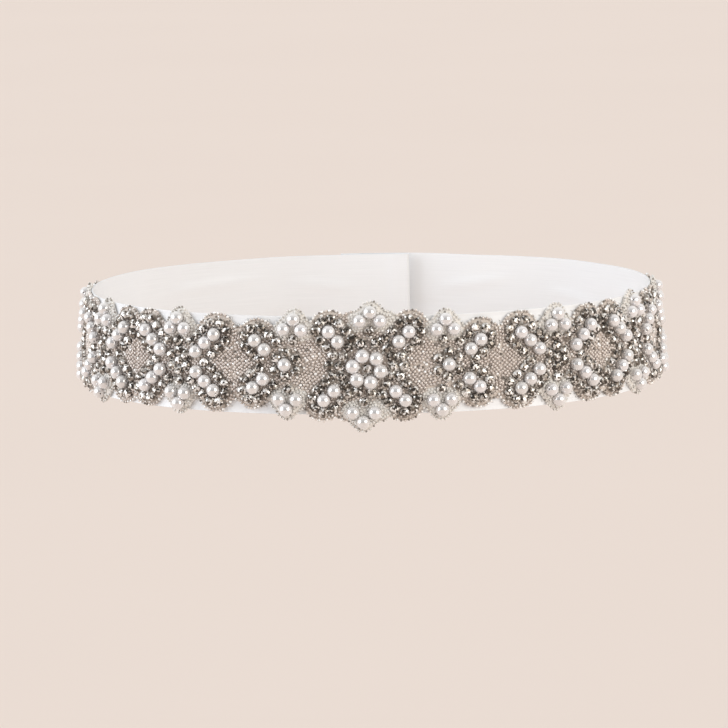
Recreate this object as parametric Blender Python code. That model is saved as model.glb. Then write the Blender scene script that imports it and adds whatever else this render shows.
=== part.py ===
"""Beaded bridal sash worn round a waist.

A satin ribbon goes once round and laps at centre back, where two hooks hold two bars.
A scalloped applique of pearls and cup stones lies on the ribbon over the front and both sides.

The pieces are laid out flat first, in millimetres: u runs along the ribbon from centre front
(positive towards +X), v runs up from the ribbon's middle, and w runs out from its face.
place() then wraps a flat point round the waist and gives metres.
"""
import bpy
import math
import numpy as np
from mathutils.geometry import delaunay_2d_cdt

MM = 0.001

# The waist: a slightly squared oval, measured at the ribbon's outer face, flaring downwards
WAIST_HALF_WIDTH = 118.0
WAIST_HALF_DEPTH = 98.5
WAIST_SQUARENESS = 2.1
FLARE_DEG = 4.0
CURVE_STEPS = 2880

# The ribbon
RIBBON_HEIGHT = 39.0
RIBBON_WALL = 1.2
RIBBON_LAP = 30.0
RIBBON_STEP = 7.0
RIBBON_ROWS = 4

# The lap and its two hooks; each gap in the stack is SEAM_GAP
SEAM_GAP = 0.3
HOOK_SHEET = 0.4
BAR_WIRE = 0.7
LAP_LIFT = RIBBON_WALL + 4 * SEAM_GAP + 2 * HOOK_SHEET + BAR_WIRE
LAP_RAMP = 34.0
HOOK_ROWS = {"upper": 9.0, "lower": -9.0}
HOOK_HALF_WIDTH = 3.0
HOOK_PLATE_BACK = 7.0
HOOK_REACH = 4.5
HOOK_TONGUE_BACK = 2.5
BAR_HALF_SPAN = 5.6
BAR_FOOT = 3.0
BAR_FORWARD = 1.0

# The applique's wall and the beads raised in its outer face
APPLIQUE_GAP = 0.3
APPLIQUE_GROUND = 1.7
PEARL_RADIUS = 2.65
PEARL_CENTRE = 3.3
STONE_RADIUS = 2.0
STONE_BASE = 2.4
STONE_TOP = 3.7
PEARL_SHOULDER = 0.72 * PEARL_RADIUS
PEARL_SIDES = 6
STONE_SHOULDER = 0.9 * STONE_RADIUS
STONE_SIDES = 4

# The wall's other points, and the space that they keep
BAND_HALF_HEIGHT = 15.0
OUTLINE_STEP = 2.1
SCALLOP_STEP = 0.2
END_ARC_STEPS = 60
GROUND_STEP = 4.2
GROUND_TO_PEARL = PEARL_RADIUS + 1.0
GROUND_TO_STONE = STONE_RADIUS + 0.8
FRONT_TO_EDGE = 0.8
FRONT_SPACING = 0.75
BACK_STEP = 9.0
BACK_TO_EDGE = 1.5

# Motifs along the strip. Lean is a share of v and rise is in mm, each for the -u and the +u copy
MOTIFS = [
    {"kind": "centre", "u": 0.0, "lean": (0.075, 0.075), "rise": (-0.3, -0.3)},
    {"kind": "side", "u": 30.4, "lean": (0.079, 0.068), "rise": (0.7, 0.0)},
    {"kind": "repeat", "u": 78.8, "lean": (-0.040, 0.041), "rise": (0.4, -0.1)},
    {"kind": "repeat", "u": 125.7, "lean": (0.033, -0.005), "rise": (-0.3, 0.2)},
    {"kind": "repeat", "u": 172.6, "lean": (0.0, 0.0), "rise": (0.0, 0.0)},
]

# One motif of each kind. A leaf's pearls run from the inside out, as (du, v) in the first quarter.
# A fan has a pair of pearls at (+-spread, pair) and one at (0, tip), and a wing (du, v) widens it.
# Single stones are (du, v), mirrored into every quarter that the motif has.
LEAF_PEARLS = {
    "centre": [(12.1, 9.9), (15.9, 13.7)],
    "side": [(10.5, 5.9), (14.6, 9.4)],
    "repeat": [(8.7, 4.1), (12.7, 7.7), (16.7, 11.2)],
}
LEAF_STONES = {"centre": 9, "side": 8, "repeat": 10}
LEAF_STONE_OFFSET = 4.9
STONE_PITCH = 4.1
FANS = {
    "centre": {"spread": 4.2, "pair": 18.2, "tip": 21.8, "wing": [(6.8, 17.8)]},
    "side": {"spread": 3.5, "pair": 13.9, "tip": 18.0, "wing": []},
    "repeat": {"spread": 3.3, "pair": 12.9, "tip": 17.2, "wing": []},
}
SINGLE_STONES = {
    "centre": [(3.2, 9.5), (0.0, 14.2), (10.6, 0.0), (14.9, 0.0), (7.9, 7.2), (10.0, 3.7)],
    "side": [(-0.4, 9.8)],
    "repeat": [(0.0, 8.2)],
}
FLOWER_V = -0.8
FLOWER_RING = 5.55
FLOWER_PEARLS = 6
FLOWER_PHASE_DEG = 50.0
SIDE_PEARL_OUT = 2.0
CLUSTER_RING = {"side": 4.8, "repeat": 4.15}
CLUSTER_STONES = 6
CLUSTER_PHASE_DEG = 30.0

# Scallops of the outline round the leaves and the fans
LEAF_SCALLOP = 8.8
FAN_SCALLOP = 4.6
FAN_SLOPE_STEPS = 6

# Space that neighbouring beads keep, centre to centre
STONE_TO_STONE = 3.95
STONE_TO_PEARL = 4.55
STONE_DROPPED_UNDER = 2.3
SETTLE_ROUNDS = 40

# Soft folds of the ribbon's bare back half. Columns: u, depth, half length, slant
RIBBON_FOLDS = [
    (-306.0, 0.8, 15.0, 0.30),
    (-276.0, -1.1, 21.0, -0.22),
    (-236.0, 0.7, 14.0, 0.35),
    (232.0, -0.8, 17.0, 0.25),
    (262.0, 1.1, 20.0, -0.30),
    (296.0, -0.6, 13.0, 0.40),
]

# Colour, roughness and metallic value of each material
MATERIALS = {
    "satin": {"color": (0.86, 0.84, 0.81), "roughness": 0.35, "metallic": 0.0},
    "beadwork": {"color": (0.62, 0.58, 0.53), "roughness": 0.3, "metallic": 0.35},
    "hook_steel": {"color": (0.72, 0.72, 0.73), "roughness": 0.28, "metallic": 1.0},
}


def waist_curve():
    """Arc length, plan position and outward normal once round, from centre back to centre back."""
    t = np.linspace(-math.pi, math.pi, CURVE_STEPS + 1)
    power = 2.0 / WAIST_SQUARENESS
    x = WAIST_HALF_WIDTH * np.sign(np.sin(t)) * np.abs(np.sin(t)) ** power
    y = -WAIST_HALF_DEPTH * np.sign(np.cos(t)) * np.abs(np.cos(t)) ** power
    slope = WAIST_SQUARENESS - 1.0
    nx = np.sign(x) * np.abs(x / WAIST_HALF_WIDTH) ** slope / WAIST_HALF_WIDTH
    ny = np.sign(y) * np.abs(y / WAIST_HALF_DEPTH) ** slope / WAIST_HALF_DEPTH
    length = np.hypot(nx, ny)
    s = np.concatenate([[0.0], np.cumsum(np.hypot(np.diff(x), np.diff(y)))])
    s -= s[-1] / 2
    return s, x, y, nx / length, ny / length


CURVE = waist_curve()
GIRTH = 2 * CURVE[0][-1]
RIBBON_END = (GIRTH + RIBBON_LAP) / 2


def place(u, v, w):
    """Wrap one flat point round the waist and return it in metres."""
    s, x, y, nx, ny = CURVE
    along = (u + GIRTH / 2) % GIRTH - GIRTH / 2
    out = w - v * math.tan(math.radians(FLARE_DEG))
    px = np.interp(along, s, x) + np.interp(along, s, nx) * out
    py = np.interp(along, s, y) + np.interp(along, s, ny) * out
    return (px * MM, py * MM, v * MM)


def between_motifs(u, what):
    """A motif's lean or rise at u, read between the values of its two neighbours."""
    rows = [(-row["u"], row[what][0]) for row in reversed(MOTIFS)]
    rows += [(row["u"], row[what][1]) for row in MOTIFS[1:]]
    return float(np.interp(u, [row[0] for row in rows], [row[1] for row in rows]))


def sewn(u, v):
    """Where the beadwork's flat point lies once it is sewn on, with its small lean and rise."""
    return u + between_motifs(u, "lean") * v, v + between_motifs(u, "rise")


def motif_copies():
    """Every motif on the strip as (kind, u, side), side being -1, 0 or +1."""
    copies = []
    for row in MOTIFS:
        sides = (0,) if row["u"] == 0 else (-1, 1)
        copies += [(row["kind"], side * row["u"], side) for side in sides]
    return copies


def quarters(kind, side):
    """Mirror signs (along u, along v) of the leaves that a motif has."""
    along = (side,) if kind == "side" else (-1, 1)
    return [(a, b) for a in along for b in (-1, 1)]


def leaf_stone_path(pearls, count):
    """Stones in a U round a leaf's pearls, open towards the motif's middle."""
    start, end = np.array(pearls[0]), np.array(pearls[-1])
    run = float(np.linalg.norm(end - start))
    axis = (end - start) / run
    across = np.array([-axis[1], axis[0]])
    half_turn = math.pi * LEAF_STONE_OFFSET
    points = []
    for i in range(count):
        d = (i - (count - 1) / 2) * STONE_PITCH
        if abs(d) < half_turn / 2:
            angle = d / LEAF_STONE_OFFSET
            offset = axis * math.cos(angle) + across * math.sin(angle)
            points.append(end + offset * LEAF_STONE_OFFSET)
        else:
            back = abs(d) - half_turn / 2
            points.append(end - axis * back + across * math.copysign(LEAF_STONE_OFFSET, d))
    return points


def ring(u, v, radius, count, phase_deg):
    """Points evenly round a circle."""
    angles = [math.radians(phase_deg + 360.0 * i / count) for i in range(count)]
    return [(u + radius * math.cos(a), v + radius * math.sin(a)) for a in angles]


def bead_layout():
    """Flat centres of every pearl and every cup stone, before the lean."""
    pearls, stones = [], []
    for kind, u, side in motif_copies():
        fan = FANS[kind]
        for up in (-1, 1):
            pearls.append((u, up * fan["tip"]))
            pearls += [(u + a * fan["spread"], up * fan["pair"]) for a in (-1, 1)]
        for a, b in quarters(kind, side):
            pearls += [(u + a * du, b * v) for du, v in LEAF_PEARLS[kind]]
            path = leaf_stone_path(LEAF_PEARLS[kind], LEAF_STONES[kind])
            stones += [(u + a * du, b * v) for du, v in path]
            stones += [(u + a * du, b * v) for du, v in SINGLE_STONES[kind]]
        if kind == "centre":
            pearls += ring(u, FLOWER_V, FLOWER_RING, FLOWER_PEARLS, FLOWER_PHASE_DEG)
            stones.append((u, FLOWER_V))
        elif kind == "side":
            middle = u + side * SIDE_PEARL_OUT
            pearls.append((middle, 0.0))
            stones += ring(middle, 0.0, CLUSTER_RING[kind], CLUSTER_STONES, CLUSTER_PHASE_DEG)
        else:
            stones.append((u, 0.0))
            stones += ring(u, 0.0, CLUSTER_RING[kind], CLUSTER_STONES, CLUSTER_PHASE_DEG)
    return np.array(pearls), settled_stones(np.array(pearls), stones)


def settled_stones(pearls, wanted):
    """Drop doubled stones, then push the rest apart until they clear each other and the pearls."""
    kept = []
    for stone in wanted:
        gaps = [math.dist(stone, other) for other in kept]
        if not gaps or min(gaps) > STONE_DROPPED_UNDER:
            kept.append(stone)
    stones = np.array(kept)
    for _ in range(SETTLE_ROUNDS):
        move = np.zeros_like(stones)
        for others, clear, share in ((stones, STONE_TO_STONE, 0.5), (pearls, STONE_TO_PEARL, 1.0)):
            apart = stones[:, None, :] - others[None, :, :]
            dist = np.linalg.norm(apart, axis=2)
            push = np.where((dist > 1e-6) & (dist < clear), (clear - dist) * share, 0.0)
            move += (apart / np.maximum(dist, 1e-6)[:, :, None] * push[:, :, None]).sum(axis=1)
        stones = stones + 0.5 * move
    return stones


def fan_circles(kind, u):
    """Circles (u, v, radius) over a fan: its slopes run straight from the pair up to the tip."""
    fan = FANS[kind]
    circles = [(u + du, v, FAN_SCALLOP) for du, v in fan["wing"]]
    for share in np.linspace(0.0, 1.0, FAN_SLOPE_STEPS):
        du, v = fan["spread"] * (1 - share), fan["pair"] * (1 - share) + fan["tip"] * share
        circles += [(u + a * du, v, FAN_SCALLOP) for a in (-1, 1)]
    return circles


def scallops():
    """Circles (u, v, radius) that the applique's upper edge runs over."""
    circles = []
    for kind, u, side in motif_copies():
        circles += fan_circles(kind, u)
        for a in sorted({q[0] for q in quarters(kind, side)}):
            du, v = LEAF_PEARLS[kind][-1]
            circles.append((u + a * du, v, LEAF_SCALLOP))
    return circles


def upper_edge(u, circles):
    """Height of the applique's upper edge at u."""
    heights = [v + math.sqrt(r * r - (u - cu) ** 2) for cu, v, r in circles if abs(u - cu) < r]
    return max([BAND_HALF_HEIGHT] + heights)


def applique_outline():
    """The scalloped outline as evenly spaced points, counter-clockwise, before the lean."""
    circles = scallops()
    last_u = MOTIFS[-1]["u"]
    inner, outer = LEAF_PEARLS["repeat"][0], LEAF_PEARLS["repeat"][-1]
    end_u = last_u + outer[0]
    slope = math.atan2(outer[1] - inner[1], outer[0] - inner[0])
    turn = math.pi / 2 + (math.pi / 2 - slope)
    notch_u = last_u + inner[0] + (LEAF_SCALLOP - inner[1] * math.cos(slope)) / math.sin(slope)
    quarter = [(notch_u, 0.0)]
    for i in range(END_ARC_STEPS + 1):
        angle = math.pi / 2 - turn * (1 - i / END_ARC_STEPS)
        quarter.append((end_u + LEAF_SCALLOP * math.cos(angle), outer[1] + LEAF_SCALLOP * math.sin(angle)))
    quarter += [(u, upper_edge(u, circles)) for u in np.arange(end_u - SCALLOP_STEP, 0.0, -SCALLOP_STEP)]
    middle = [(0.0, upper_edge(0.0, circles))]
    half = quarter + middle + [(-u, v) for u, v in reversed(quarter)]
    loop = np.array(half + [(u, -v) for u, v in reversed(half[1:-1])])
    return resampled(loop, OUTLINE_STEP)


def resampled(loop, step):
    """The same closed line with points an even step apart."""
    closed = np.vstack([loop, loop[:1]])
    s = np.concatenate([[0.0], np.cumsum(np.linalg.norm(np.diff(closed, axis=0), axis=1))])
    count = int(round(s[-1] / step))
    at = np.arange(count) * s[-1] / count
    return np.column_stack([np.interp(at, s, closed[:, 0]), np.interp(at, s, closed[:, 1])])


def inside(points, loop):
    """True for each point that lies inside the closed line."""
    hit = np.zeros(len(points), dtype=bool)
    for (ax, ay), (bx, by) in zip(loop, np.roll(loop, -1, axis=0)):
        crosses = (ay > points[:, 1]) != (by > points[:, 1])
        if crosses.any():
            x = ax + (points[:, 1] - ay) / (by - ay if by != ay else 1e-12) * (bx - ax)
            hit ^= crosses & (points[:, 0] < x)
    return hit


def nearest(points, others):
    """Distance from each point to the nearest of the others."""
    return np.array([np.hypot(*(others - p).T).min() for p in points])


def triangular_grid(step, half_length, half_height):
    """Points of an even triangular grid over the strip."""
    row_step = step * math.sqrt(3) / 2
    points = []
    for j, v in enumerate(np.arange(-half_height, half_height, row_step)):
        shift = step / 2 * (j % 2)
        points += [(u + shift, v) for u in np.arange(-half_length, half_length, step)]
    return np.array(points)


def relief_points(outline):
    """Points (u, v, w) raised in the applique's outer face."""
    pearls, stones = bead_layout()
    rows = []
    shoulder_w = PEARL_CENTRE + math.sqrt(PEARL_RADIUS ** 2 - PEARL_SHOULDER ** 2)
    half_side = 180.0 / PEARL_SIDES
    for u, v in pearls:
        rows.append((u, v, PEARL_CENTRE + PEARL_RADIUS))
        rows += [(a, b, shoulder_w) for a, b in ring(u, v, PEARL_SHOULDER, PEARL_SIDES, 0.0)]
        rows += [(a, b, PEARL_CENTRE) for a, b in ring(u, v, PEARL_RADIUS, PEARL_SIDES, half_side)]
    for u, v in stones:
        rows.append((u, v, STONE_TOP))
        rows += [(a, b, STONE_BASE) for a, b in ring(u, v, STONE_SHOULDER, STONE_SIDES, 180.0 / STONE_SIDES)]
    points = np.array(rows)
    reach = outline.max(axis=0)
    ground = triangular_grid(GROUND_STEP, reach[0], reach[1])
    ground = ground[nearest(ground, pearls) > GROUND_TO_PEARL]
    ground = ground[nearest(ground, stones) > GROUND_TO_STONE]
    points = np.vstack([points, np.column_stack([ground, np.full(len(ground), APPLIQUE_GROUND)])])
    points = points[inside(points[:, :2], outline)]
    points = points[nearest(points[:, :2], outline) > FRONT_TO_EDGE]
    kept = []
    for row in points:
        if not kept or np.hypot(*(np.array(kept)[:, :2] - row[:2]).T).min() > FRONT_SPACING:
            kept.append(tuple(row))
    return kept


def triangulated(outline, inner_rows):
    """Triangles that fill the outline through the inner points, as indices into both lists."""
    flat = [(u, v) for u, v in outline] + [(row[0], row[1]) for row in inner_rows]
    loop = list(range(len(outline)))
    _, _, faces, origins, _, _ = delaunay_2d_cdt(flat, [], [loop], 1, 1e-5, True)
    faces = [tuple(origins[i][0] for i in face) for face in faces]
    middles = np.array([np.mean([flat[i] for i in face], axis=0) for face in faces])
    return [face for face, within in zip(faces, inside(middles, outline)) if within]


def solid(name, material, verts, faces):
    """One closed mesh object with its material."""
    mesh = bpy.data.meshes.new(name)
    mesh.from_pydata(verts, [], faces)
    mesh.validate()
    mesh.materials.append(material)
    body = bpy.data.objects.new(name, mesh)
    bpy.context.collection.objects.link(body)
    return body


def make_material(name):
    """A plain Principled material."""
    look = MATERIALS[name]
    material = bpy.data.materials.new(name)
    material.use_nodes = True
    shader = material.node_tree.nodes["Principled BSDF"]
    shader.inputs["Base Color"].default_value = (*look["color"], 1.0)
    shader.inputs["Roughness"].default_value = look["roughness"]
    shader.inputs["Metallic"].default_value = look["metallic"]
    return material


def ribbon_offset(u, v):
    """How far the ribbon stands out from the waist: its soft folds, and its lap at centre back."""
    fold = sum(depth * math.exp(-((u - at - slant * v) / half) ** 2) for at, depth, half, slant in RIBBON_FOLDS)
    rise = (u - (RIBBON_END - RIBBON_LAP - LAP_RAMP)) / LAP_RAMP
    rise = min(max(rise, 0.0), 1.0)
    return fold + LAP_LIFT * rise * rise * (3 - 2 * rise)


def make_ribbon(material):
    """The satin ribbon: one wall, lapped over itself at centre back."""
    stations = np.linspace(-RIBBON_END, RIBBON_END, int(2 * RIBBON_END / RIBBON_STEP))
    heights = np.linspace(-RIBBON_HEIGHT / 2, RIBBON_HEIGHT / 2, RIBBON_ROWS + 1)
    verts, section = [], 2 * len(heights)
    for u in stations:
        outer = [place(u, v, ribbon_offset(u, v)) for v in heights]
        inner = [place(u, v, ribbon_offset(u, v) - RIBBON_WALL) for v in reversed(heights)]
        verts += outer + inner
    faces = []
    for i in range(len(stations) - 1):
        for j in range(section):
            a, b = i * section + j, i * section + (j + 1) % section
            faces.append((a, a + section, b + section, b))
    last = (len(stations) - 1) * section
    for j in range(RIBBON_ROWS):
        low, high = section - 1 - j, section - 2 - j
        faces.append((j, j + 1, high, low))
        faces.append((last + low, last + high, last + j + 1, last + j))
    return solid("ribbon", material, verts, faces)


def make_applique(material):
    """The beaded applique: a scalloped wall with its beads raised over a plain inside."""
    outline = applique_outline()
    raised = relief_points(outline)
    back = triangular_grid(BACK_STEP, *outline.max(axis=0))
    back = back[inside(back, outline)]
    back = [(u, v, APPLIQUE_GAP) for u, v in back[nearest(back, outline) > BACK_TO_EDGE]]
    count = len(outline)
    outer = [(u, v, APPLIQUE_GROUND) for u, v in outline] + raised
    inner = [(u, v, APPLIQUE_GAP) for u, v in outline] + back
    start = len(outer)
    faces = triangulated(outline, raised)
    faces += [tuple(start + i for i in reversed(tri)) for tri in triangulated(outline, back)]
    for i in range(count):
        j = (i + 1) % count
        faces.append((i, start + i, start + j, j))
    verts = [place(*sewn(u, v), w) for u, v, w in outer + inner]
    return solid("applique", material, verts, faces)


def extruded(name, material, profile, half_width, point):
    """A closed profile drawn out to both sides; point(a, b, c) gives its place."""
    count = len(profile)
    verts = [place(*point(a, b, -half_width)) for a, b in profile]
    verts += [place(*point(a, b, half_width)) for a, b in profile]
    faces = [tuple(reversed(range(count))), tuple(range(count, 2 * count))]
    for i in range(count):
        j = (i + 1) % count
        faces.append((i, j, count + j, count + i))
    return solid(name, material, verts, faces)


def make_hook(name, material, v):
    """A flat hook under the lap's outer end; its tongue goes back under the bar."""
    low = SEAM_GAP
    high = 3 * SEAM_GAP + HOOK_SHEET + BAR_WIRE
    profile = [
        (-HOOK_PLATE_BACK, high),
        (HOOK_REACH - HOOK_SHEET, high),
        (HOOK_REACH - HOOK_SHEET, low + HOOK_SHEET),
        (-HOOK_TONGUE_BACK, low + HOOK_SHEET),
        (-HOOK_TONGUE_BACK, low),
        (HOOK_REACH - HOOK_SHEET / 2, low),
        (HOOK_REACH, low + HOOK_SHEET / 2),
        (HOOK_REACH, high + HOOK_SHEET / 2),
        (HOOK_REACH - HOOK_SHEET / 2, high + HOOK_SHEET),
        (-HOOK_PLATE_BACK, high + HOOK_SHEET),
    ]
    return extruded(name, material, profile, HOOK_HALF_WIDTH, lambda a, b, c: (GIRTH / 2 + a, v - c, b))


def make_bar(name, material, v):
    """A bar on the lap's inner end, bridged over the hook's tongue and footed at both sides."""
    foot = SEAM_GAP
    under = 2 * SEAM_GAP + HOOK_SHEET
    over = under + BAR_WIRE
    span, reach = BAR_HALF_SPAN, BAR_HALF_SPAN + BAR_FOOT - BAR_WIRE
    profile = [
        (-reach, foot),
        (-span + BAR_WIRE, foot),
        (-span + BAR_WIRE, under),
        (span - BAR_WIRE, under),
        (span - BAR_WIRE, foot),
        (reach, foot),
        (reach, foot + BAR_WIRE / 2),
        (span, foot + BAR_WIRE / 2),
        (span - BAR_WIRE / 2, over),
        (-span + BAR_WIRE / 2, over),
        (-span, foot + BAR_WIRE / 2),
        (-reach, foot + BAR_WIRE / 2),
    ]
    return extruded(name, material, profile, BAR_WIRE / 2, lambda a, b, c: (GIRTH / 2 + BAR_FORWARD + c, v + a, b))


def main():
    for old in list(bpy.data.objects):
        bpy.data.objects.remove(old, do_unlink=True)
    materials = {name: make_material(name) for name in MATERIALS}
    make_ribbon(materials["satin"])
    make_applique(materials["beadwork"])
    for row, v in HOOK_ROWS.items():
        make_hook("hook_" + row, materials["hook_steel"], v)
        make_bar("bar_" + row, materials["hook_steel"], v)


main()
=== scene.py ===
"""Looks of the beaded bridal sash: satin ribbon, net, pearls, cup stones and seed beads.

Flat sizes are in millimetres: u runs along the ribbon from centre front (positive towards +X),
v runs up from the ribbon's middle and w runs out from its face. wrap() puts a flat point round
the waist and gives metres in the CAD frame.
"""
import bpy
import math
import numpy as np
from mathutils import Matrix, Vector
from mathutils.geometry import delaunay_2d_cdt
from mathutils.kdtree import KDTree


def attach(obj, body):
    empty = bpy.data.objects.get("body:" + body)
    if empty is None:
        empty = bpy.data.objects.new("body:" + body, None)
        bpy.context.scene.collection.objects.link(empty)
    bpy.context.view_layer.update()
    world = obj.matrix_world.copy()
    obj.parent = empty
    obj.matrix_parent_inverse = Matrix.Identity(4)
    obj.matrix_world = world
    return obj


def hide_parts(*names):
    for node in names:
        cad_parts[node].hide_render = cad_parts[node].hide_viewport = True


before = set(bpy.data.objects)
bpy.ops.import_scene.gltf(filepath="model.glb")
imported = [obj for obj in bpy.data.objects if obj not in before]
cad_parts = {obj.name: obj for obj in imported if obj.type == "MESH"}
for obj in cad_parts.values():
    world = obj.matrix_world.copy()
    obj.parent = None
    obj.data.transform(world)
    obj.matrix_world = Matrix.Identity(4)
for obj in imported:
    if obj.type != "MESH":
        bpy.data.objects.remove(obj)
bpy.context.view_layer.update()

MM = 0.001
SEED = 2506

# The waist's oval at the ribbon's outer face, as in the CAD
WAIST_HALF_WIDTH = 118.0
WAIST_HALF_DEPTH = 98.5
WAIST_SQUARENESS = 2.1
FLARE_DEG = 4.0
CURVE_STEPS = 2880

# The ribbon and its lap, as in the CAD. Columns of the folds: u, depth, half length, slant
RIBBON_HEIGHT = 39.0
RIBBON_LAP = 30.0
LAP_LIFT = 3.9
LAP_RAMP = 34.0
RIBBON_FOLDS = [
    (-306.0, 0.8, 15.0, 0.30),
    (-276.0, -1.1, 21.0, -0.22),
    (-236.0, 0.7, 14.0, 0.35),
    (232.0, -0.8, 17.0, 0.25),
    (262.0, 1.1, 20.0, -0.30),
    (296.0, -0.6, 13.0, 0.40),
]

# The satin's own form in the scene
SATIN_THICKNESS = 0.6
SATIN_STEP = 1.6
SATIN_ROWS = 30
HEM_LENGTH = 9.0
HEM_EXTRA = 0.45
HEM_EASE = 1.2
SELVEDGE_WIDTH = 0.8
SELVEDGE_RISE = 0.12
SELVEDGE_EASE = 0.3

# Creases of the bare satin. Columns: u, v, length along u, depth, half width, slant
CREASES = [
    (-322.0, 6.0, 26.0, -0.66, 1.8, 0.10),
    (-300.0, -8.0, 34.0, 0.77, 2.4, -0.12),
    (-268.0, 9.0, 40.0, -0.62, 2.1, -0.06),
    (-252.0, -3.0, 22.0, 0.66, 1.9, 0.20),
    (-222.0, -10.0, 30.0, -0.55, 2.2, 0.08),
    (-208.0, 4.0, 18.0, 0.48, 1.7, -0.22),
    (206.0, 8.0, 24.0, -0.53, 2.0, 0.14),
    (226.0, -6.0, 36.0, 0.70, 2.3, -0.08),
    (250.0, 3.0, 28.0, -0.66, 1.8, 0.12),
    (274.0, -11.0, 42.0, 0.62, 2.5, 0.05),
    (300.0, 7.0, 30.0, -0.75, 2.1, -0.15),
    (326.0, -2.0, 20.0, 0.44, 1.8, 0.18),
]

# The net: heights over the ribbon's face, its padding in the fans, and its mesh
NET_LOW = 0.3
NET_HIGH = 1.0
NET_RIM = 0.5
NET_IN_FAN = 1.7
FAN_PADDING = 1.6
NET_INSET = 0.45
NET_STEP = 1.2
NET_EDGE_STEP = 0.9

# A pearl, its drilled hole and its stray (mm, heading, tilt). Columns of the sizes: u, share of the CAD's
PEARL_RADIUS = 2.65
PEARL_CENTRE = 3.3
PEARL_SIDES = 22
PEARL_STEPS = 14
HOLE_RIM = 0.36
HOLE_RADIUS = 0.3
HOLE_DEPTH = 0.7
PEARL_SIZES = [(110.0, 1.0), (175.0, 0.87)]
FLOWER_PEARL_SIZE = 1.06
PEARL_STRAY = (0.07, 0.3, 0.3)

# A stone's crown from its table down. Columns: radius, height, corners, turn in degrees
STONE_RADIUS = 2.0
STONE_RINGS = [(0.0, 0.96, 1, 0.0), (0.75, 0.88, 8, 22.5), (1.40, 0.74, 8, 0.0), (2.08, 0.0, 8, 22.5)]
# Groups of a stone's facets that each take their own painted reflection, light or dark, in their colour
STONE_PAINTED_REFLECTION_GROUPS = 20
STONE_STRAY = (0.05, 0.4, 0.09)
STONE_LIFT = 0.12

# A stone's cup. Columns of its wall, from the foot up: radius, height; of a claw: and half width
CUP_HEIGHT = 1.6
CUP_SIDES = 12
CUP_WALL = [(1.72, -CUP_HEIGHT), (1.94, -CUP_HEIGHT + 0.3), (2.1, -0.15), (2.12, 0.04), (2.04, 0.02)]
CLAW = [
    (2.14, -0.7, 0.36),
    (2.1, 0.08, 0.34),
    (1.62, 0.5, 0.26),
    (1.3, 0.66, 0.14),
    (1.24, 0.5, 0.14),
    (1.7, 0.1, 0.3),
]
CLAWS = 4
CLAW_CORNERS = CLAWS * len(CLAW) * 2
GIRDLE = NET_HIGH + CUP_HEIGHT

# Sewing thread, and where it holds the hems, the applique and the CAD's hooks and bars
THREAD_RADIUS = 0.16
THREAD_SIDES = 6
STITCH_POINTS = 5
STITCH_LENGTH = 1.9
STITCH_PITCH = 3.2
STITCH_CLEAR = (2.0, 1.5)
TACK_PITCH = 4.5
TACK_CLEAR = 2.0
TACK_IN = 0.2
TACK_OUT = 0.8
TACK_SLANT = 0.7
HOOK_ROWS = (9.0, -9.0)
HOOK_HALF_WIDTH = 3.0
HOOK_UNDERSIDE = 2.0
HOOK_THREADS = (-6.4, -5.4, -4.4)
HOOK_THREAD_INNER = 1.4
BAR_HALF_SPAN = 5.6
BAR_FOOT = 2.3
BAR_FORWARD = 1.0
BAR_TOP = 0.65
BAR_THREADS = (-0.6, 0.0, 0.6)
BAR_THREAD_HALF = 0.8

# Motifs along the strip, as in the CAD. Lean is a share of v, rise is in mm: -u copy, +u copy
MOTIFS = [
    {"kind": "centre", "u": 0.0, "lean": (0.075, 0.075), "rise": (-0.3, -0.3)},
    {"kind": "side", "u": 30.4, "lean": (0.079, 0.068), "rise": (0.7, 0.0)},
    {"kind": "repeat", "u": 78.8, "lean": (-0.040, 0.041), "rise": (0.4, -0.1)},
    {"kind": "repeat", "u": 125.7, "lean": (0.033, -0.005), "rise": (-0.3, 0.2)},
    {"kind": "repeat", "u": 172.6, "lean": (0.0, 0.0), "rise": (0.0, 0.0)},
]
LEAF_PEARLS = {
    "centre": [(12.1, 9.9), (15.9, 13.7)],
    "side": [(10.5, 5.9), (14.6, 9.4)],
    "repeat": [(8.7, 4.1), (12.7, 7.7), (16.7, 11.2)],
}
LEAF_STONES = {"centre": 9, "side": 8, "repeat": 10}
LEAF_STONE_OFFSET = 4.9
STONE_PITCH = 4.1
FANS = {
    "centre": {"spread": 4.2, "pair": 18.2, "tip": 21.8, "wing": [(6.8, 17.8)]},
    "side": {"spread": 3.5, "pair": 13.9, "tip": 18.0, "wing": []},
    "repeat": {"spread": 3.3, "pair": 12.9, "tip": 17.2, "wing": []},
}
SINGLE_STONES = {
    "centre": [(3.2, 9.5), (0.0, 14.2), (10.6, 0.0), (14.9, 0.0), (7.9, 7.2), (10.0, 3.7)],
    "side": [(-0.4, 9.8)],
    "repeat": [(0.0, 8.2)],
}
FLOWER_V = -0.8
FLOWER_RING = 5.55
FLOWER_PEARLS = 6
FLOWER_PHASE_DEG = 50.0
SIDE_PEARL_OUT = 2.0
CLUSTER_RING = {"side": 4.8, "repeat": 4.15}
CLUSTER_STONES = 6
CLUSTER_PHASE_DEG = 30.0
STONE_TO_STONE = 3.95
STONE_TO_PEARL = 4.55
STONE_DROPPED_UNDER = 2.3
SETTLE_ROUNDS = 40

# The applique's scalloped outline, as in the CAD
LEAF_SCALLOP = 8.8
FAN_SCALLOP = 4.6
FAN_SLOPE_STEPS = 6
BAND_HALF_HEIGHT = 15.0
END_ARC_STEPS = 60
OUTLINE_STEP = 0.2

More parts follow.
